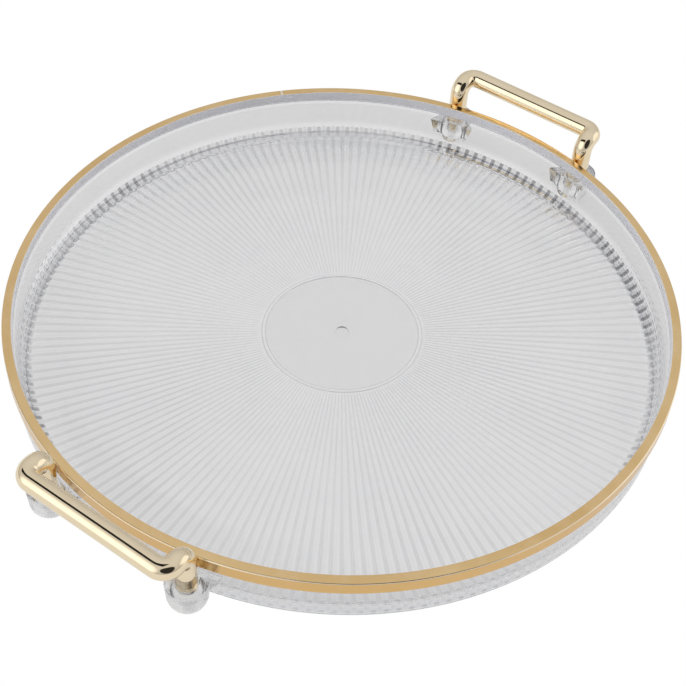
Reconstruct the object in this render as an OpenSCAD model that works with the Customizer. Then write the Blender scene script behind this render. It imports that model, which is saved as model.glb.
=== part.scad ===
// Round vanity tray in clear plastic with a gold rim and two plug-in handles.
// The origin is on the table, at the centre of the tray. +Z is up, and the
// two handles stand at the -X and +X ends.

/* [Tray] */
// Diameter of the rim, over the gold band
rim_d = 320; // [260:5:380]
// Height of the rim above the table
rim_z = 28; // [24:0.5:40]
// Width of the flat top of the rim
rim_w = 4.4; // [3.5:0.1:6]
// Height of the thick band around the rim
band_h = 7; // [5:0.5:9]
// Thickness of the floor
floor_t = 1.9; // [1.5:0.1:3]
// Height of the ring that the tray stands on, below the floor
foot_h = 0.7; // [0.5:0.1:1.5]
// Radius between the floor and the inside of the wall
wall_fillet = 6; // [4:0.5:8]

/* [Floor pattern] */
// Diameter of the smooth disc in the middle of the floor
disc_d = 76.6; // [50:1:100]
// Width of the raised bead around the disc
bead_w = 1.2; // [0.8:0.1:2]
// Number of flutes around the floor
flute_n = 180; // [60:4:200]
// Depth of a flute
flute_depth = 0.35; // [0.1:0.05:0.6]
// Diameter of the dimple that the moulding gate leaves in the middle
dimple_d = 7; // [4:0.5:10]

/* [Handles] */
// Diameter of the rod that each handle is bent from
rod_d = 9.6; // [8:0.2:11]
// Distance between the two legs of a handle, axis to axis
leg_gap = 77.6; // [60:0.2:100]
// Distance from the tray's centre line to the leg axes, along X
leg_x = 161.2; // [161:0.1:164]
// How far the grip bar stands out from the legs
bar_out = 11.2; // [11:0.2:20]
// Height of the grip bar's axis above the rim
bar_rise = 8.9; // [7:0.1:20]
// Radius of every bend, measured at the rod's axis
bend_r = 5.2; // [5:0.1:5.5]
// Height of the leg tips above the table
tip_z = 10.5; // [9:0.5:12]

/* [Sockets] */
// Outer diameter of a socket at its mouth
socket_d = 18.8; // [17:0.2:20]
// Width of the shoulder that joins a socket to the wall
shoulder_w = 25; // [20:1:30]
// Distance from the lower edge of the rim's band down to the sockets' mouths
mouth_drop = 4; // [2:0.5:5]
// Gap between a leg and its bore, all round
leg_clearance = 0.1; // [0.05:0.01:0.1]

/* [Hidden] */
$fn = 96;

// Rim and foil
foil_t = 0.15;
rim_r = rim_d / 2;
plastic_r = rim_r - foil_t;
plastic_z = rim_z - foil_t;
edge_r = 0.45;
rim_in_r = rim_r - rim_w;

// Wall: both faces lean in towards the table, as a moulding has to
wall_out_top_r = rim_r - 1.2;
wall_out_low_r = rim_r - 2.1;
foot_out_r = rim_r - 2.6;
foot_in_r = rim_r - 6.5;
wall_draft = 1.7;
floor_z = foot_h + floor_t;
wall_in_low_r = rim_in_r - wall_draft;
fillet_c_r = wall_in_low_r - wall_fillet;
fillet_c_z = floor_z + wall_fillet;

// Floor
disc_r = disc_d / 2;
bead_h = 0.4;
dimple_depth = 0.3;

// Flutes
flute_pitch = 360 / flute_n;
flute_share = 0.5;
flute_in_r = disc_r + bead_w;
flute_top_z = floor_z + 0.6 * wall_fillet;

// Handles
rod_r = rod_d / 2;
leg_y = leg_gap / 2;
bar_z = rim_z + bar_rise;
bar_x = leg_x + bar_out;
tip_taper_h = 5.5;
tip_chamfer = 0.5;
tip_r = rod_r - 0.7;

// Sockets
socket_r = socket_d / 2;
socket_ball_r = socket_r - 0.4;
band_z = rim_z - band_h;
mouth_z = max(band_z - mouth_drop, tip_z + 3);
shoulder_z = mouth_z - 0.5;
bore_r = rod_r + leg_clearance;
seat_gap = 0.05;
seat_z = tip_z - seat_gap;
relief_r = tip_r - 0.6;
relief_z = 3.5;
mouth_chamfer = 0.6;
shoulder_h = 7;
shoulder_in_r = rim_r - 4;
arc_steps = 12;
leg_ring_r = norm([leg_x, leg_y]);
leg_angle = atan2(leg_y, leg_x);

// Half of the tray's cross-section, without the round between floor and wall
module sharp_section() {
    polygon([[0, foot_h],
             [foot_in_r, foot_h],
             [foot_in_r + foot_h, 0],
             [foot_out_r, 0],
             [wall_out_low_r, foot_h + 0.5],
             [wall_out_top_r, band_z],
             [plastic_r, band_z],
             [plastic_r, plastic_z - edge_r],
             [plastic_r - edge_r, plastic_z],
             [rim_in_r, plastic_z],
             [wall_in_low_r, fillet_c_z],
             [fillet_c_r, fillet_c_z],
             [fillet_c_r, floor_z],
             [0, floor_z]]);
}

module tray_section() {
    difference() {
        sharp_section();
        translate([fillet_c_r, fillet_c_z])
            circle(r = wall_fillet);
    }
}

// Half of the space inside the dish up to the flutes' tops, grown by a flute's depth
module flute_section() {
    low_z = floor_z - flute_depth;
    height = flute_top_z - low_z;
    translate([flute_in_r, low_z])
        square([fillet_c_r - flute_in_r, height]);
    intersection() {
        translate([fillet_c_r, fillet_c_z])
            circle(r = wall_fillet + flute_depth);
        translate([fillet_c_r - 1, low_z])
            square([wall_fillet + flute_depth + 1, height]);
    }
}

// All the flutes: wedges that widen outwards, follow the floor and end part way up the round
module flutes() {
    half = flute_pitch * flute_share / 2;
    near_r = flute_in_r - 1;
    far_r = wall_in_low_r + 5;
    intersection() {
        rotate_extrude($fn = 180)
            flute_section();
        translate([0, 0, floor_z - 1])
            linear_extrude(flute_top_z - floor_z + 1)
                for (i = [0:flute_n - 1])
                    rotate([0, 0, i * flute_pitch])
                        polygon([[near_r, -near_r * tan(half)], [far_r, -far_r * tan(half)],
                                 [far_r, far_r * tan(half)], [near_r, near_r * tan(half)]]);
    }
}

// Raised ring around the smooth disc
module bead() {
    translate([0, 0, floor_z - 0.2])
        rotate_extrude()
            translate([disc_r - bead_w / 2, 0])
                polygon([[0, 0], [bead_w, 0], [bead_w - 0.3, 0.2 + bead_h], [0.3, 0.2 + bead_h]]);
}

module dimple() {
    translate([0, 0, floor_z - dimple_depth])
        cylinder(d1 = dimple_d - 1, d2 = dimple_d, h = dimple_depth + bead_h);
}

// Clear cup beside the wall that takes one leg
module socket_body() {
    rotate_extrude()
        polygon(concat(
            [[0, 0]],
            [for (i = [1:arc_steps])
                let (a = -90 + 90 * i / arc_steps)
                [socket_ball_r * cos(a), socket_ball_r + socket_ball_r * sin(a)]],
            [[socket_r, mouth_z], [0, mouth_z]]));
}

module socket_bore() {
    translate([0, 0, seat_z])
        cylinder(r = bore_r, h = rim_z);
    translate([0, 0, relief_z])
        cylinder(r = relief_r, h = seat_z);
    translate([0, 0, mouth_z - mouth_chamfer])
        cylinder(r1 = bore_r, r2 = bore_r + mouth_chamfer + 0.1, h = mouth_chamfer + 0.1);
}

// Web between the cup and the wall, wide at the wall and narrow at the cup
module socket_shoulder() {
    reach = leg_ring_r - shoulder_in_r;
    translate([0, 0, shoulder_z - shoulder_h])
        linear_extrude(shoulder_h)
            polygon([[-reach, -shoulder_w / 2], [0, -socket_r * 0.9],
                     [0, socket_r * 0.9], [-reach, shoulder_w / 2]]);
}

module at_each_leg() {
    for (side = [0, 180])
        for (turn = [-leg_angle, leg_angle])
            rotate([0, 0, side + turn])
                translate([leg_ring_r, 0, 0])
                    children();
}

module tray() {
    color([0.86, 0.87, 0.89, 0.45])
        difference() {
            union() {
                rotate_extrude($fn = 180)
                    tray_section();
                bead();
                at_each_leg() {
                    socket_body();
                    socket_shoulder();
                }
            }
            dimple();
            flutes();
            at_each_leg()
                socket_bore();
        }
}

// Flat gold ring on top of the rim
module rim_top_foil() {
    color([0.80, 0.66, 0.42])
        translate([0, 0, plastic_z])
            difference() {
                cylinder(r = plastic_r - edge_r, h = foil_t, $fn = 180);
                translate([0, 0, -1])
                    cylinder(r = rim_in_r, h = foil_t + 2, $fn = 180);
            }
}

// Upright gold band around the rim
module rim_side_foil() {
    color([0.80, 0.66, 0.42])
        translate([0, 0, band_z])
            difference() {
                cylinder(r = rim_r, h = band_h - foil_t - edge_r, $fn = 180);
                translate([0, 0, -1])
                    cylinder(r = plastic_r, h = band_h + 2, $fn = 180);
            }
}

// Quarter bend from straight up (+Z) to level (+X), starting at the origin
module bend() {
    translate([bend_r, 0, 0])
        rotate([90, 0, 180])
            rotate_extrude(angle = 90)
                translate([bend_r, 0])
                    circle(r = rod_r);
}

// One leg with its tapered tip, the bend at its top and the stub to the bar
module leg() {
    taper_top_z = tip_z + tip_taper_h;
    translate([leg_x, 0, tip_z])
        cylinder(r1 = tip_r - tip_chamfer, r2 = tip_r, h = tip_chamfer);
    translate([leg_x, 0, tip_z + tip_chamfer])
        cylinder(r1 = tip_r, r2 = rod_r, h = tip_taper_h - tip_chamfer);
    translate([leg_x, 0, taper_top_z])
        cylinder(r = rod_r, h = bar_z - bend_r - taper_top_z);
    translate([leg_x, 0, bar_z - bend_r])
        bend();
    translate([leg_x + bend_r, 0, bar_z])
        rotate([0, 90, 0])
            cylinder(r = rod_r, h = bar_out - 2 * bend_r);
}

// Quarter bend that turns the stub into the grip bar
module bar_bend() {
    translate([bar_x - bend_r, -leg_y + bend_r, bar_z])
        rotate([0, 0, -90])
            rotate_extrude(angle = 90)
                translate([bend_r, 0])
                    circle(r = rod_r);
}

module handle() {
    color([0.85, 0.78, 0.60]) {
        for (flip = [0, 1])
            mirror([0, flip, 0]) {
                translate([0, -leg_y, 0])
                    leg();
                bar_bend();
            }
        translate([bar_x, -leg_y + bend_r, bar_z])
            rotate([-90, 0, 0])
                cylinder(r = rod_r, h = leg_gap - 2 * bend_r);
    }
}

module handle_right() {
    handle();
}

module handle_left() {
    rotate([0, 0, 180])
        handle();
}

tray();
rim_top_foil();
rim_side_foil();
handle_left();
handle_right();
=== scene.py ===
"""Looks for the round vanity tray: clear fluted plastic, gold foil rim and two gold-plated rod handles.

Everything is in metres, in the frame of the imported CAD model: +Z up, the origin on the table at the tray's
centre, +X towards the right handle. The overall sizes are read from the frame, and most of the others repeat
those of the CAD model. The flutes, the bead and the dimple are a little larger here.
"""
import math

import bmesh
import bpy
from mathutils import Matrix, Vector


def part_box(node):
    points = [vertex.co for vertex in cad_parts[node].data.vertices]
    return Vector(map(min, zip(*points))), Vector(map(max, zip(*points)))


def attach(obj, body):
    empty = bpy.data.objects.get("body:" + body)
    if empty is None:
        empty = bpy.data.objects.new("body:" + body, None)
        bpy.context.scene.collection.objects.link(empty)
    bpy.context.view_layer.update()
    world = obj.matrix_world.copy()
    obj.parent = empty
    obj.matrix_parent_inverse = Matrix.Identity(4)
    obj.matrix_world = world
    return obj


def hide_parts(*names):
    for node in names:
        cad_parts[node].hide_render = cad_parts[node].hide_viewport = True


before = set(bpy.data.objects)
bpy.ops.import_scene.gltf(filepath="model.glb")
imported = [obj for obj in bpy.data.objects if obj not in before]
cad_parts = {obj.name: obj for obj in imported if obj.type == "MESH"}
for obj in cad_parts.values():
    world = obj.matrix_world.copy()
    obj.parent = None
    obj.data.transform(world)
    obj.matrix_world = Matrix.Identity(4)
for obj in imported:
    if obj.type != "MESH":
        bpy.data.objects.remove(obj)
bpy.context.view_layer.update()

MM = 0.001
ON_AXIS = 1e-7
# Columns of a plain ring's mesh
RING_COLUMNS = 720

# Tray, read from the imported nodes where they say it
RIM_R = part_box("rim_side_foil")[1].y
RIM_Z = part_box("rim_top_foil")[1].z
BAND_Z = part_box("rim_side_foil")[0].z
FOIL_T = 0.15 * MM
RIM_IN_R = RIM_R - 4.4 * MM
EDGE_R = 0.45 * MM
WALL_OUT_TOP_R = RIM_R - 1.2 * MM
FOOT_OUT_R = RIM_R - 2.6 * MM
FOOT_IN_R = RIM_R - 6.5 * MM
FOOT_H = 0.7 * MM
FLOOR_Z = 2.6 * MM
WALL_IN_LOW_R = RIM_IN_R - 1.7 * MM
FILLET_R = 6 * MM
FLOOR_END_R = WALL_IN_LOW_R - FILLET_R
DISC_R = 38.3 * MM
BEAD_W = 1.9 * MM
BEAD_H = 0.5 * MM
DIMPLE_R = 3.6 * MM
DIMPLE_DEPTH = 0.6 * MM
DIMPLE_FLAT_R = DIMPLE_R - 1.2 * MM
DIMPLE_FLANK_W = 0.9 * MM
FLUTES = 180
FLUTE_DEPTH = 0.42 * MM
# The groove's share of its pitch, and the angles of its end on the round, where 0 is level with the round's
# centre
FLUTE_SHARE = 0.80
FLUTE_STEEP_ANGLE = math.radians(-33)
FLUTE_TOP_ANGLE = math.asin(-0.4)
FLUTE_END_DROP = 0.16
FLUTE_TOP_Z = FLOOR_Z + 0.6 * FILLET_R
# Mesh columns in one pitch
FLUTE_COLUMNS = 8
# Where the foil's ends meet, from +X
SEAM_ANGLE = math.radians(48.6)

# Handles
ROD_R = 4.8 * MM
LEG_X = 161.2 * MM
LEG_Y = 38.8 * MM
BAR_X = 172.4 * MM
BAR_Z = RIM_Z + 8.9 * MM
BEND_R = 5.2 * MM
TIP_Z = 10.5 * MM
TIP_TAPER_H = 5.5 * MM
TIP_R = ROD_R - 0.7 * MM
TIP_CHAMFER = 0.5 * MM

# Sockets
SOCKET_R = 9.4 * MM
SOCKET_BALL_R = 9.0 * MM
MOUTH_Z = BAND_Z - 4 * MM
SHOULDER_Z = MOUTH_Z - 0.5 * MM
SHOULDER_H = 7 * MM
SHOULDER_W = 25 * MM
BORE_R = ROD_R + 0.1 * MM
SEAT_Z = TIP_Z - 0.05 * MM
RELIEF_R = TIP_R - 0.6 * MM
RELIEF_Z = 3.5 * MM
LEG_RING_R = math.hypot(LEG_X, LEG_Y)
LEG_ANGLE = math.atan2(LEG_Y, LEG_X)


# ---------------------------------------------------------------- mesh helpers

def new_object(name, verts, faces):
    mesh = bpy.data.meshes.new(name)
    mesh.from_pydata(verts, [], faces)
    mesh.validate()
    obj = bpy.data.objects.new(name, mesh)
    bpy.context.scene.collection.objects.link(obj)
    return obj


def smooth(obj, sharp_degrees):
    obj.data.shade_smooth()
    obj.data.set_sharp_from_angle(angle=math.radians(sharp_degrees))


def arc(cx, cz, radius, start, end, steps):
    """Points of an arc in the (radius, height) plane, angles in degrees, both ends included."""
    points = []
    for i in range(steps + 1):
        a = math.radians(start + (end - start) * i / steps)
        points.append((cx + radius * math.cos(a), cz + radius * math.sin(a)))
    return points


def plain_row(r, z):
    """A row that is the same all the way round."""
    return lambda u: (r, z)


def turn_rows(name, rows, columns, closed=False):
    """Turns rows about Z. Each row is a function from the place across a flute, -1 to 1, to (radius, height).
    A row on the axis is a single point."""
    verts, faces, rings = [], [], []
    for row in rows:
        r, z = row(0)
        if r < ON_AXIS:
            rings.append([len(verts)] * columns)
            verts.append((0, 0, z))
            continue
        rings.append(list(range(len(verts), len(verts) + columns)))
        for c in range(columns):
            a = math.tau * c / columns
            r, z = row(2 * (c % FLUTE_COLUMNS) / FLUTE_COLUMNS - 1)
            verts.append((r * math.cos(a), r * math.sin(a), z))
    pairs = list(zip(rings[:-1], rings[1:]))
    if closed:
        pairs.append((rings[-1], rings[0]))
    for low, high in pairs:
        for c in range(columns):
            d = (c + 1) % columns
            face = list(dict.fromkeys([low[c], low[d], high[d], high[c]]))
            if len(face) > 2:
                faces.append(face)
    return new_object(name, verts, faces)


def lathe(name, profile, columns, closed=False):
    """Turns (radius, height) points about Z. An open profile starts and ends on the axis."""
    return turn_rows(name, [plain_row(r, z) for r, z in profile], columns, closed)


def boolean(target, tool, operation):
    mod = target.modifiers.new("cut", "BOOLEAN")
    mod.operation = operation
    mod.solver = "MANIFOLD"
    mod.object = tool
    bpy.context.view_layer.objects.active = target
    bpy.ops.object.modifier_apply(modifier=mod.name)
    bpy.data.objects.remove(tool)


# ---------------------------------------------------------------- tray

def flute_shape(u):
    """Depth of a flute, from 0 to 1, at u from -1 to 1 across its pitch: a round groove between two flats."""
    t = min(1.0, abs(u) / FLUTE_SHARE)
    return math.sqrt(1 - t * t)


def floor_row(r, share):
    """A row of the fluted floor."""
    return lambda u: (r, FLOOR_Z - FLUTE_DEPTH * share * flute_shape(u))


def fillet_row(angle, share, arch):
    """A row of the fluted round between floor and wall. With arch 1 it bends down round each flute's end."""
    def point(u):
        a = angle - arch * FLUTE_END_DROP * (1 - flute_shape(u))
        reach = FILLET_R + FLUTE_DEPTH * share * flute_shape(u)
        return FLOOR_END_R + reach * math.cos(a), FLOOR_Z + FILLET_R + reach * math.sin(a)
    return point


def disc_rows():
    """The dimple, the smooth disc and the bead around it, from the axis outwards."""
    rows = [plain_row(0, FLOOR_Z - DIMPLE_DEPTH), plain_row(DIMPLE_FLAT_R, FLOOR_Z - DIMPLE_DEPTH)]
    flank_steps = 4
    for i in range(1, flank_steps):
        t = i / flank_steps
        drop = DIMPLE_DEPTH * (1 + math.cos(math.pi * t)) / 2
        rows.append(plain_row(DIMPLE_R + (t - 1) * DIMPLE_FLANK_W, FLOOR_Z - drop))
    for r in (DIMPLE_R, 8 * MM, DISC_R - BEAD_W / 2 - 0.1 * MM):
        rows.append(plain_row(r, FLOOR_Z))
    bead_steps = 6
    for i in range(bead_steps + 1):
        t = i / bead_steps
        rows.append(plain_row(DISC_R + (t - 0.5) * BEAD_W, FLOOR_Z + BEAD_H * math.sin(math.pi * t)))
    return rows


def flute_rows():
    """The flutes along the floor and up the round. Their depth grows with the radius, as their width does."""
    flute_in = DISC_R + BEAD_W / 2 + 0.35 * MM
    rows = [plain_row(flute_in, FLOOR_Z)]
    for r in (flute_in + 0.5 * MM, 70 * MM, 110 * MM, FLOOR_END_R):
        rows.append(floor_row(r, r / WALL_IN_LOW_R))
    round_steps = 6
    for i in range(1, round_steps + 1):
        angle = -math.pi / 2 + (math.pi / 2 + FLUTE_STEEP_ANGLE) * i / round_steps
        rows.append(fillet_row(angle, 1.0, i / round_steps))
    # Each flute's end rises steeply out of the groove
    for back, share in ((0.10, 1.0), (0.05, 0.8), (0.02, 0.3), (0.0, 0.0)):
        rows.append(fillet_row(FLUTE_TOP_ANGLE - back, share, 1.0))
    return rows


def wall_rows():
    """The plain top of the round, a fine step where it meets the wall, and the wall up to the rim's flat
    top."""
    rows = [fillet_row(math.radians(angle), 0.0, 0.0) for angle in (-14, 0)]
    lean = (RIM_IN_R - WALL_IN_LOW_R) / (RIM_Z - FLOOR_Z - FILLET_R)
    step_z = FLOOR_Z + FILLET_R + 1.0 * MM
    step_out = 0.12 * MM
    places = [(step_z - 0.25 * MM, 0), (step_z, step_out), (step_z + 0.5 * MM, step_out)]
    places += [(step_z + 0.9 * MM, 0), (18 * MM, 0), (RIM_Z - 0.6 * MM, 0)]
    for z, out in places:
        rows.append(plain_row(WALL_IN_LOW_R + (z - FLOOR_Z - FILLET_R) * lean + out, z))
    edge = 0.25 * MM
    for r, z in arc(RIM_IN_R + edge, RIM_Z - FOIL_T - edge, edge, 180, 90, 2):
        rows.append(plain_row(r, z))
    return rows


def outer_profile():
    """From the rim's flat top over its edge, down the outside, round the foot and under the floor."""
    top_z = RIM_Z - FOIL_T
    out_r = RIM_R - FOIL_T
    band_edge = 0.2 * MM
    band_root = 0.3 * MM
    foot_round = 1.4 * MM
    foot_r = FOOT_OUT_R - 1.0 * MM
    foot_root = 0.4 * MM
    points = arc(out_r - EDGE_R, top_z - EDGE_R, EDGE_R, 90, 0, 4)
    points += arc(out_r - band_edge, BAND_Z + band_edge, band_edge, 0, -90, 2)
    points += arc(WALL_OUT_TOP_R + band_root, BAND_Z - band_root, band_root, 90, 180, 2)
    points += [(WALL_OUT_TOP_R - 0.45 * MM, 11 * MM)]
    points += arc(foot_r, foot_round, foot_round, 0, -70, 4)
    points += [(foot_r, 0), (FOOT_IN_R + FOOT_H, 0)]
    points += arc(FOOT_IN_R + foot_root, FOOT_H - foot_root, foot_root, 0, 90, 2)
    points += [(80 * MM, FOOT_H), (0, FOOT_H)]
    return points


def make_tray_shell():
    rows = disc_rows() + flute_rows() + wall_rows()
    rows += [plain_row(r, z) for r, z in outer_profile()]
    return turn_rows("clear_tray", rows, FLUTES * FLUTE_COLUMNS)


def leg_places():
    for side in (0, math.pi):
        for turn in (-LEG_ANGLE, LEG_ANGLE):
            yield side + turn


def place_at_leg(obj, angle):
    obj.rotation_euler = (0, 0, angle)
    obj.location = (LEG_RING_R * math.cos(angle), LEG_RING_R * math.sin(angle), 0)
    bpy.context.view_layer.update()
    obj.data.transform(obj.matrix_world)
    obj.matrix_world.identity()
    bpy.context.view_layer.update()


def make_socket_body(index):
    """The outside of a socket: a round cup with a softened mouth."""
    lip = 0.4 * MM
    profile = arc(0, SOCKET_BALL_R, SOCKET_BALL_R, -90, 0, 14)
    profile[0] = (0, 0)
    profile += arc(SOCKET_R - lip, MOUTH_Z - lip, lip, 0, 90, 3)
    profile += [(0, MOUTH_Z)]
    return lathe(f"socket_body_{index}", profile, 72)


def make_socket_bore(index):
    """What is cut out of a socket: relief, seat, bore and chamfered mouth, with free space above."""
    relief_round = 1.2 * MM
    chamfer = 0.6 * MM
    free_z = RIM_Z + 5 * MM
    profile = [(0, RELIEF_Z)]
    profile += arc(RELIEF_R - relief_round, RELIEF_Z + relief_round, relief_round, -90, 0, 5)
    profile += [(RELIEF_R, SEAT_Z), (BORE_R, SEAT_Z), (BORE_R, MOUTH_Z - chamfer)]
    profile += [(BORE_R + chamfer, MOUTH_Z), (BORE_R + chamfer, free_z), (0, free_z)]
    return lathe(f"socket_bore_{index}", profile, 64)


def make_shoulder(index):
    """Web from the cup to the wall: wide at the wall, thinner towards the table."""
    root_x = RIM_R - 3 * MM - LEG_RING_R
    low_share = 0.80
    outline = [(root_x, SHOULDER_W / 2), (root_x + 2.2 * MM, SHOULDER_W / 2 - 0.8 * MM)]
    outline += [(-2 * MM, SOCKET_R * 0.96), (0, SOCKET_R * 0.9)]
    outline += [(x, -y) for x, y in reversed(outline)]
    low, high = SHOULDER_Z - SHOULDER_H, SHOULDER_Z
    n = len(outline)
    verts = [(x, y * low_share, low) for x, y in outline] + [(x, y, high) for x, y in outline]
    faces = [list(range(n)), list(range(2 * n - 1, n - 1, -1))]
    for i in range(n):
        j = (i + 1) % n
        faces.append([i, i + n, j + n, j])
    return new_object(f"shoulder_{index}", verts, faces)


def fix_normals(obj):
    bm = bmesh.new()
    bm.from_mesh(obj.data)
    bmesh.ops.recalc_face_normals(bm, faces=bm.faces)
    bm.to_mesh(obj.data)
    bm.free()


def make_tray():
    tray = make_tray_shell()
    fix_normals(tray)
    steps = ((make_socket_body, "UNION"), (make_shoulder, "UNION"), (make_socket_bore, "DIFFERENCE"))
    for index, angle in enumerate(leg_places()):
        for maker, operation in steps:
            tool = maker(index)
            fix_normals(tool)
            place_at_leg(tool, angle)
            boolean(tray, tool, operation)
    smooth(tray, 32)
    return tray


# ---------------------------------------------------------------- foils

def make_top_foil():
    """Flat gold ring on the rim, rolled over its rounded outer edge down to the side band."""
    inner = RIM_IN_R + 0.05 * MM
    lip = 0.1 * MM
    flat_margin = 1.2 * MM
    gap = 0.02 * MM
    roll_x, roll_z = RIM_R - FOIL_T - EDGE_R, RIM_Z - FOIL_T - EDGE_R
    profile = arc(inner + lip, RIM_Z - lip, lip, 180, 90, 3)
    profile += [(inner + flat_margin, RIM_Z), (roll_x - flat_margin, RIM_Z)]
    profile += arc(roll_x, roll_z, EDGE_R + FOIL_T - 0.01 * MM, 90, 4, 8)
    profile += arc(roll_x, roll_z, EDGE_R + gap, 4, 90, 6)
    profile += [(inner, RIM_Z - FOIL_T + gap)]
    return lathe("gold_rim_top", profile, RING_COLUMNS, closed=True)


def make_side_foil():
    """Upright gold band around the rim, with softened edges."""
    inner = RIM_R - FOIL_T + 0.02 * MM
    low = BAND_Z + 0.1 * MM
    high = RIM_Z - FOIL_T - EDGE_R
    soft = 0.05 * MM
    flat_margin = 1.5 * MM
    profile = [(inner, low), (RIM_R - soft, low), (RIM_R, low + soft)]
    profile += [(RIM_R, low + flat_margin), (RIM_R, high - flat_margin)]
    profile += [(RIM_R, high - soft), (RIM_R - soft, high), (inner, high)]
    return lathe("gold_rim_side", profile, RING_COLUMNS, closed=True)


# ---------------------------------------------------------------- handles

def handle_path():
    """Centreline of the handle at the +X end, from one leg's tip to the other, as (point, rod radius)."""
    taper_z = TIP_Z + TIP_TAPER_H
    leg = [(TIP_Z, TIP_R - TIP_CHAMFER), (TIP_Z + 0.15 * MM, TIP_R - 0.2 * MM), (TIP_Z + TIP_CHAMFER, TIP_R)]
    leg += [(taper_z - 0.4 * MM, ROD_R - 0.06 * MM)]
    leg += [(z, ROD_R) for z in (taper_z, taper_z + 1 * MM, 26 * MM)]
    half = [((LEG_X, -LEG_Y, z), r) for z, r in leg]
    bend_steps = 20
    for i in range(bend_steps + 1):
        a = math.pi / 2 * i / bend_steps
        x = LEG_X + BEND_R * (1 - math.cos(a))
        z = BAR_Z - BEND_R + BEND_R * math.sin(a)
        half.append(((x, -LEG_Y, z), ROD_R))
    for i in range(bend_steps + 1):
        a = math.pi / 2 * i / bend_steps
        x = BAR_X - BEND_R + BEND_R * math.sin(a)
        y = -LEG_Y + BEND_R * (1 - math.cos(a))
        half.append(((x, y, BAR_Z), ROD_R))
    for share in (0.8, 0.5, 0.2):
        half.append(((BAR_X, -(LEG_Y - BEND_R) * share, BAR_Z), ROD_R))
    other = [((x, -y, z), r) for (x, y, z), r in reversed(half)]
    return half + other


def make_handle(name, side):
    """One gold rod swept along its path, closed at both tips. side is 1 for +X and -1 for -X."""
    path = handle_path()
    sides = 64
    verts, rings, faces = [], [], []
    points = [Vector(p) for p, _ in path]
    tangents = []
    for i in range(len(points)):
        before = points[max(i - 1, 0)]
        after = points[min(i + 1, len(points) - 1)]
        tangents.append((after - before).normalized())
    normal = Vector((1, 0, 0))
    for i, (point, tangent) in enumerate(zip(points, tangents)):
        normal = (normal - tangent * normal.dot(tangent)).normalized()
        binormal = tangent.cross(normal)
        radius = path[i][1]
        rings.append(list(range(len(verts), len(verts) + sides)))
        for k in range(sides):
            a = math.tau * k / sides
            v = point + normal * (radius * math.cos(a)) + binormal * (radius * math.sin(a))
            verts.append((v.x * side, v.y * side, v.z))
    for low, high in zip(rings[:-1], rings[1:]):
        for k in range(sides):
            j = (k + 1) % sides
            faces.append([low[k], low[j], high[j], high[k]])
    faces.append(list(reversed(rings[0])))
    faces.append(list(rings[-1]))
    obj = new_object(name, verts, faces)
    fix_normals(obj)
    smooth(obj, 50)
    return obj


# ---------------------------------------------------------------- materials

def new_material(name):
    mat = bpy.data.materials.new(name)
    mat.use_nodes = True
    nodes, links = mat.node_tree.nodes, mat.node_tree.links
    return mat, nodes, links, nodes["Principled BSDF"]


def noise(nodes, links, scale, detail, roughness):
    coords = nodes.new("ShaderNodeTexCoord")
    tex = nodes.new("ShaderNodeTexNoise")
    tex.inputs["Scale"].default_value = scale
    tex.inputs["Detail"].default_value = detail
    tex.inputs["Roughness"].default_value = roughness
    links.new(coords.outputs["Object"], tex.inputs["Vector"])
    return tex.outputs["Fac"]


def ramp(nodes, links, fac, stops):
    node = nodes.new("ShaderNodeValToRGB")
    elements = node.color_ramp.elements
    while len(elements) < len(stops):
        elements.new(0.5)
    for element, (place, colour) in zip(elements, stops):
        element.position = place
        element.color = (*colour, 1.0)
    links.new(fac, node.inputs["Fac"])
    return node.outputs["Color"]


def map_range(nodes, links, value, low, high, to_low, to_high):
    node = nodes.new("ShaderNodeMapRange")
    links.new(value, node.inputs["Value"])
    for key, number in (("From Min", low), ("From Max", high), ("To Min", to_low), ("To Max", to_high)):
        node.inputs[key].default_value = number
    return node.outputs["Result"]


def bump(nodes, links, height, distance):
    node = nodes.new("ShaderNodeBump")
    node.inputs["Distance"].default_value = distance
    node.inputs["Strength"].default_value = 1.0
    links.new(height, node.inputs["Height"])
    return node.outputs["Normal"]


def math_node(nodes, links, operation, *values):
    node = nodes.new("ShaderNodeMath")
    node.operation = operation
    for socket, value in zip(node.inputs, values):
        if isinstance(value, (int, float)):
            socket.default_value = value
        else:
            links.new(value, socket)
    return node.outputs[0]


def product(nodes, links, *factors):
    """All the factors multiplied together."""
    result = factors[0]
    for factor in factors[1:]:
        result = math_node(nodes, links, "MULTIPLY", result, factor)
    return result


def weighted_sum(nodes, links, x, x_weight, y, y_weight):
    first = math_node(nodes, links, "MULTIPLY", x, x_weight)
    second = math_node(nodes, links, "MULTIPLY", y, y_weight)
    return math_node(nodes, links, "ADD", first, second)


def mix_colour(nodes, links, factor, first, second, blend="MIX"):
    """Mixes two colours, each an output socket or an (r, g, b) value, by a factor, a socket or a number."""
    node = nodes.new("ShaderNodeMix")
    node.data_type = "RGBA"
    node.blend_type = blend
    if isinstance(factor, float):
        node.inputs["Factor"].default_value = factor
    else:
        links.new(factor, node.inputs["Factor"])
    for key, colour in (("A", first), ("B", second)):
        if isinstance(colour, tuple):
            node.inputs[key].default_value = (*colour, 1)
        else:
            links.new(colour, node.inputs[key])
    return node.outputs["Result"]


def grey(level):
    return (level, level, level)


def object_xyz(nodes, links):
    coords = nodes.new("ShaderNodeTexCoord")
    split = nodes.new("ShaderNodeSeparateXYZ")
    links.new(coords.outputs["Object"], split.inputs["Vector"])
    return split.outputs


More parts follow.
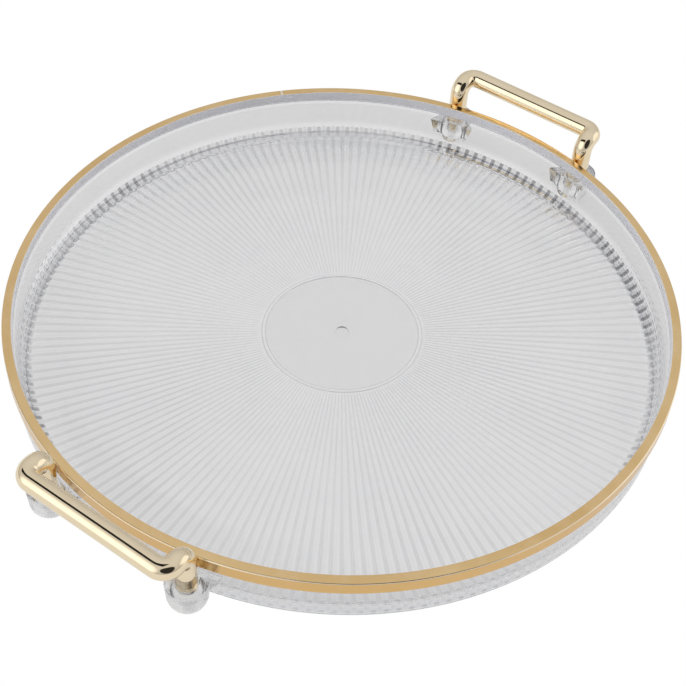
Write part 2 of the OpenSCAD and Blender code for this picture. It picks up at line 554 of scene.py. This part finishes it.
def flute_phase(nodes, links):
    """(distance from the middle of the nearest flute, from 0 to 1 at the flat between two; distance from the
    axis in metres; height in metres)."""
    x, y, z = object_xyz(nodes, links)
    turn_angle = math_node(nodes, links, "ARCTAN2", y, x)
    count = math_node(nodes, links, "MULTIPLY", turn_angle, FLUTES / math.tau)
    part = math_node(nodes, links, "FRACT", count)
    off = math_node(nodes, links, "ABSOLUTE", math_node(nodes, links, "SUBTRACT", part, 0.5))
    across = math_node(nodes, links, "MULTIPLY", off, 2.0)
    square = math_node(nodes, links, "ADD", product(nodes, links, x, x), product(nodes, links, y, y))
    return across, math_node(nodes, links, "SQRT", square), z


def dish_face(nodes, links, radius, height):
    """1 on the inner face of the dish, 0 underneath and outside."""
    upper = map_range(nodes, links, height, FLOOR_Z - 0.7 * MM, FLOOR_Z - 0.6 * MM, 0.0, 1.0)
    inner = map_range(nodes, links, radius, RIM_IN_R, RIM_IN_R + 0.2 * MM, 1.0, 0.0)
    return product(nodes, links, upper, inner)


def painted_flute_shade(nodes, links, across, radius, height, face):
    """Painted shade: how far the flutes' edges are darkened, from 0 to 1, uneven from place to place."""
    levels = ((0.0, 0.25), (0.25, 0.0), (0.55, 0.1), (0.80, 1.0), (0.92, 0.9), (1.0, 0.35))
    edge = ramp(nodes, links, across, [(place, grey(level)) for place, level in levels])
    inside = map_range(nodes, links, radius, DISC_R + 1.2 * MM, DISC_R + 3 * MM, 0.0, 1.0)
    below = map_range(nodes, links, height, FLUTE_TOP_Z, FLUTE_TOP_Z + 0.5 * MM, 1.0, 0.0)
    drift = map_range(nodes, links, noise(nodes, links, 9.0, 2.0, 0.5), 0.35, 0.65, 0.45, 1.0)
    return product(nodes, links, inside, below, drift, edge, face)


def painted_bead_shade(nodes, links, radius, face):
    """Painted shade: 1 on a thin line at each side of the bead, which is darkened there."""
    off = math_node(nodes, links, "ABSOLUTE", math_node(nodes, links, "SUBTRACT", radius, DISC_R))
    starts = map_range(nodes, links, off, 0.5 * MM, 0.8 * MM, 0.0, 1.0)
    stops = map_range(nodes, links, off, 1.0 * MM, 1.3 * MM, 1.0, 0.0)
    return product(nodes, links, starts, stops, face)


def painted_flute_end_shade(nodes, links, across, radius, height, face):
    """Painted shade: how far the flutes' steep ends are darkened, from 0 to 1, uneven from place to place."""
    reach = map_range(nodes, links, radius, WALL_IN_LOW_R - 5 * MM, WALL_IN_LOW_R - 3.8 * MM, 0.0, 1.0)
    below = map_range(nodes, links, height, FLUTE_TOP_Z - 0.5 * MM, FLUTE_TOP_Z - 0.1 * MM, 1.0, 0.0)
    middle = map_range(nodes, links, across, 0.30, 0.62, 1.0, 0.0)
    patchy = map_range(nodes, links, noise(nodes, links, 11.0, 1.0, 0.5), 0.40, 0.60, 0.45, 1.0)
    return product(nodes, links, middle, below, face, reach, patchy)


def wall_and_sockets(nodes, links, height):
    """Where painted shade greys the wall and sockets: 1 from above the flutes up to the rim band, 0
    elsewhere.
    """
    above = map_range(nodes, links, height, FLUTE_TOP_Z, FLUTE_TOP_Z + 3 * MM, 0.0, 1.0)
    below = map_range(nodes, links, height, BAND_Z - 0.3 * MM, BAND_Z + 0.3 * MM, 1.0, 0.0)
    return product(nodes, links, above, below)


def clear_plastic():
    """Colourless injection-moulded plastic, with the faint ripple that a mould leaves. Painted shade in the
    base colour helps the relief: it darkens the flutes' edges and ends and the bead's sides, and greys the
    disc, the wall and the sockets."""
    mat, nodes, links, shader = new_material("clear_plastic")
    shader.inputs["Transmission Weight"].default_value = 1.0
    shader.inputs["IOR"].default_value = 1.55
    fine = noise(nodes, links, 55.0, 3.0, 0.45)
    across, radius, height = flute_phase(nodes, links)
    face = dish_face(nodes, links, radius, height)
    # Painted shade: the smooth disc inside the bead is greyed.
    disc = map_range(nodes, links, radius, DISC_R - 1.5 * MM, DISC_R - 0.5 * MM, 0.6, 0.0)
    colour = ramp(nodes, links, fine, ((0.3, (0.965, 0.97, 0.98)), (0.7, (0.985, 0.985, 0.99))))
    # Painted shade on the dish: the flutes' edges, the disc, the bead's sides and the flutes' ends are
    # darkened.
    painted_shades = (
        (painted_flute_shade(nodes, links, across, radius, height, face), (0.62, 0.625, 0.64)),
        (disc, (0.88, 0.88, 0.88)),
        (painted_bead_shade(nodes, links, radius, face), (0.62, 0.62, 0.63)),
        (painted_flute_end_shade(nodes, links, across, radius, height, face), (0.14, 0.14, 0.15)),
    )
    for amount, tint in painted_shades:
        colour = mix_colour(nodes, links, amount, colour, tint)
    # Painted shade: the wall and the sockets are greyed.
    painted_wall_shade = mix_colour(nodes, links, wall_and_sockets(nodes, links, height), grey(1.0), grey(0.83))
    links.new(mix_colour(nodes, links, 1.0, colour, painted_wall_shade, "MULTIPLY"), shader.inputs["Base Color"])
    # The sockets are less polished
    socket = map_range(nodes, links, radius, RIM_R - 1 * MM, RIM_R + 1 * MM, 0.0, 0.10)
    polish = map_range(nodes, links, fine, 0.3, 0.7, 0.004, 0.02)
    links.new(math_node(nodes, links, "ADD", polish, socket), shader.inputs["Roughness"])
    links.new(bump(nodes, links, fine, 0.06 * MM), shader.inputs["Normal"])
    return mat


def foil_back():
    """The silver-white back of the foil, which shows through the clear rim. It glows faintly: painted light.
    """
    mat, nodes, links, shader = new_material("foil_back")
    shader.inputs["Metallic"].default_value = 0.25
    # Painted light: the back glows faintly, though it is no lamp.
    shader.inputs["Emission Color"].default_value = (0.95, 0.95, 1.0, 1)
    shader.inputs["Emission Strength"].default_value = 0.14
    fine = noise(nodes, links, 60.0, 3.0, 0.5)
    colour = ramp(nodes, links, fine, ((0.3, (0.90, 0.90, 0.95)), (0.7, (0.99, 0.99, 1.0))))
    links.new(colour, shader.inputs["Base Color"])
    links.new(map_range(nodes, links, fine, 0.3, 0.7, 0.25, 0.40), shader.inputs["Roughness"])
    links.new(bump(nodes, links, fine, 0.04 * MM), shader.inputs["Normal"])
    return mat


def seam_mask(nodes, links, half_width):
    """1 on the line across the rim where the foil's ends meet, 0 elsewhere."""
    x, y, _ = object_xyz(nodes, links)
    cosine, sine = math.cos(SEAM_ANGLE), math.sin(SEAM_ANGLE)
    along = weighted_sum(nodes, links, x, cosine, y, sine)
    across = weighted_sum(nodes, links, x, -sine, y, cosine)
    near = math_node(nodes, links, "LESS_THAN", math_node(nodes, links, "ABSOLUTE", across), half_width)
    this_side = math_node(nodes, links, "GREATER_THAN", along, RIM_R / 2)
    return product(nodes, links, near, this_side)


def gold_foil():
    """Hot-stamped gold foil: mottled, a deeper gold on the side band, paler where the foil's ends meet, and
    with a painted highlight along the rim's rounded edge."""
    mat, nodes, links, shader = new_material("gold_foil")
    shader.inputs["Metallic"].default_value = 1.0
    fine = noise(nodes, links, 90.0, 4.0, 0.6)
    broad = noise(nodes, links, 14.0, 2.0, 0.5)
    gold = ramp(nodes, links, broad, ((0.35, (0.78, 0.53, 0.24)), (0.65, (0.86, 0.62, 0.31))))
    streak = map_range(nodes, links, fine, 0.45, 0.75, 0.0, 0.5)
    gold = mix_colour(nodes, links, streak, gold, (0.93, 0.70, 0.42))
    height = flute_phase(nodes, links)[2]
    side = map_range(nodes, links, height, RIM_Z - 0.75 * MM, RIM_Z - 0.6 * MM, 0.75, 0.0)
    gold = mix_colour(nodes, links, side, gold, (0.74, 0.46, 0.17))
    # Painted highlight: a pale band along the rim's rounded edge, just under the flat top.
    above = map_range(nodes, links, height, RIM_Z - 0.6 * MM, RIM_Z - 0.5 * MM, 0.0, 1.0)
    below = map_range(nodes, links, height, RIM_Z - 0.12 * MM, RIM_Z - 0.05 * MM, 0.8, 0.0)
    gold = mix_colour(nodes, links, product(nodes, links, above, below), gold, (1.0, 0.90, 0.72))
    gold = mix_colour(nodes, links, seam_mask(nodes, links, 0.5 * MM), gold, (0.95, 0.90, 0.80))
    links.new(gold, shader.inputs["Base Color"])
    links.new(map_range(nodes, links, fine, 0.3, 0.7, 0.10, 0.22), shader.inputs["Roughness"])
    links.new(bump(nodes, links, fine, 0.06 * MM), shader.inputs["Normal"])
    return mat


def gold_plating():
    """Pale champagne gold plating, polished to a mirror."""
    mat, nodes, links, shader = new_material("gold_plating")
    shader.inputs["Metallic"].default_value = 1.0
    fine = noise(nodes, links, 120.0, 3.0, 0.5)
    colour = ramp(nodes, links, fine, ((0.3, (0.90, 0.76, 0.53)), (0.7, (0.93, 0.80, 0.58))))
    links.new(colour, shader.inputs["Base Color"])
    links.new(map_range(nodes, links, fine, 0.3, 0.7, 0.03, 0.07), shader.inputs["Roughness"])
    links.new(bump(nodes, links, fine, 0.02 * MM), shader.inputs["Normal"])
    return mat


# ---------------------------------------------------------------- studio

def emission(nodes, colour):
    node = nodes.new("ShaderNodeEmission")
    node.inputs["Color"].default_value = (*colour, 1)
    return node.outputs["Emission"]


def mix_shader(nodes, links, factor, first, second):
    node = nodes.new("ShaderNodeMixShader")
    links.new(factor, node.inputs["Fac"])
    links.new(first, node.inputs[1])
    links.new(second, node.inputs[2])
    return node.outputs["Shader"]


def floor_material():
    mat = bpy.data.materials.new("studio_floor")
    mat.use_nodes = True
    nodes, links = mat.node_tree.nodes, mat.node_tree.links
    nodes.clear()
    white = emission(nodes, grey(1.0))
    diffuse = nodes.new("ShaderNodeBsdfDiffuse")
    diffuse.inputs["Color"].default_value = (0.36, 0.36, 0.365, 1)
    lit = nodes.new("ShaderNodeAddShader")
    links.new(diffuse.outputs["BSDF"], lit.inputs[0])
    links.new(emission(nodes, (0.60, 0.597, 0.593)), lit.inputs[1])
    seen_directly = nodes.new("ShaderNodeLightPath").outputs["Is Camera Ray"]
    above = mix_shader(nodes, links, seen_directly, lit.outputs["Shader"], white)
    from_below = nodes.new("ShaderNodeNewGeometry").outputs["Backfacing"]
    clear = nodes.new("ShaderNodeBsdfTransparent").outputs["BSDF"]
    out = nodes.new("ShaderNodeOutputMaterial")
    links.new(mix_shader(nodes, links, from_below, above, clear), out.inputs["Surface"])
    return mat


def make_floor():
    """Pale seamless floor. It looks white itself, and is a softer grey in reflections and through the
    plastic. From below it is clear."""
    half = 6.0
    corners = [(-half, -half, 0), (half, -half, 0), (half, half, 0), (-half, half, 0)]
    floor = new_object("studio_floor", corners, [[0, 1, 2, 3]])
    floor.location.z = -0.02 * MM
    floor.data.materials.append(floor_material())


# Areas of the light tent: direction, cosines where it is full and where it ends, brightness
LIGHT_AREAS = (
    ((-0.834, 0.39, 0.389), 0.98, 0.80, 1.40),
    ((0.68, -0.68, 0.26), 0.95, 0.90, 1.10),
    ((-0.47, -0.67, 0.57), 0.90, 0.87, 0.03),
)


def make_world():
    """A white light tent: paler upwards, with two brighter soft areas and a dark one round the camera."""
    world = bpy.data.worlds.new("light_tent")
    bpy.context.scene.world = world
    world.use_nodes = True
    nodes, links = world.node_tree.nodes, world.node_tree.links
    coords = nodes.new("ShaderNodeTexCoord")
    separate = nodes.new("ShaderNodeSeparateXYZ")
    links.new(coords.outputs["Generated"], separate.inputs["Vector"])
    height = map_range(nodes, links, separate.outputs["Z"], -0.1, 0.9, 0.0, 1.0)
    tent_stops = ((0.0, (0.42, 0.42, 0.43)), (0.35, (0.60, 0.60, 0.61)), (1.0, (0.72, 0.72, 0.73)))
    colour = ramp(nodes, links, height, tent_stops)
    for direction, full, end, light in LIGHT_AREAS:
        aim = nodes.new("ShaderNodeVectorMath")
        aim.operation = "DOT_PRODUCT"
        aim.inputs[1].default_value = Vector(direction).normalized()
        links.new(coords.outputs["Generated"], aim.inputs[0])
        inside = map_range(nodes, links, aim.outputs["Value"], end, full, 0.0, 1.0)
        colour = mix_colour(nodes, links, inside, colour, grey(light))
    links.new(colour, nodes["Background"].inputs["Color"])


def make_light_gap():
    """The dark gap between two lights over the set, which the grip bars reflect as a dark line. Only
    reflections and the clear plastic see it."""
    centre_x, height = -0.205, 0.62
    half_width = 0.105
    near_y, far_y = -0.1, 0.95
    low_x, high_x = centre_x - half_width, centre_x + half_width
    outline = ((low_x, near_y), (high_x, near_y), (high_x, far_y), (low_x, far_y))
    corners = [(x, y, height) for x, y in outline]
    card = new_object("light_gap", corners, [[0, 1, 2, 3]])
    mat, nodes, links, shader = new_material("light_gap")
    shader.inputs["Base Color"].default_value = (0.01, 0.01, 0.01, 1)
    shader.inputs["Roughness"].default_value = 1.0
    card.data.materials.append(mat)
    card.visible_camera = False
    card.visible_shadow = False
    card.visible_diffuse = False


def make_camera():
    """The camera stands at the near left of the tray and looks down on it at about 48 degrees."""
    place = Vector((-0.3764, -0.2517, 0.4944))
    aim = Vector((-0.0251, -0.0177, RIM_Z))
    roll = math.radians(3.22)
    data = bpy.data.cameras.new("camera")
    data.lens = 71.63
    data.sensor_width = 36
    data.clip_start = 0.01
    camera = bpy.data.objects.new("camera", data)
    camera.location = place
    look = (aim - place).to_track_quat("-Z", "Y").to_matrix().to_4x4()
    camera.matrix_world = Matrix.Translation(place) @ look @ Matrix.Rotation(roll, 4, "Z")
    bpy.context.scene.collection.objects.link(camera)
    bpy.context.scene.camera = camera


def dress(obj, material, body, node):
    obj.data.materials.clear()
    obj.data.materials.append(material)
    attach(obj, body)
    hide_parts(node)


def silver_the_back(ring, silver):
    """Gives the foil's back material to the faces that look down or inwards."""
    facing = 0.7
    ring.data.materials.append(silver)
    for face in ring.data.polygons:
        outward = Vector((face.center.x, face.center.y, 0)).normalized()
        if face.normal.z < -facing or face.normal.dot(outward) < -facing:
            face.material_index = 1


dress(make_tray(), clear_plastic(), "tray", "tray")

foil, silver = gold_foil(), foil_back()
for ring, node in ((make_top_foil(), "rim_top_foil"), (make_side_foil(), "rim_side_foil")):
    fix_normals(ring)
    smooth(ring, 40)
    dress(ring, foil, "tray", node)
    silver_the_back(ring, silver)

plating = gold_plating()
dress(make_handle("left_handle", -1), plating, "handle_left", "handle_left")
dress(make_handle("right_handle", 1), plating, "handle_right", "handle_right")

make_floor()
make_world()
make_light_gap()
make_camera()
bpy.context.scene.view_settings.view_transform = "Standard"
# Light needs many steps to leave the sockets and the rim
bpy.context.scene.cycles.max_bounces = 24
bpy.context.scene.cycles.transmission_bounces = 24
bpy.context.scene.cycles.glossy_bounces = 16
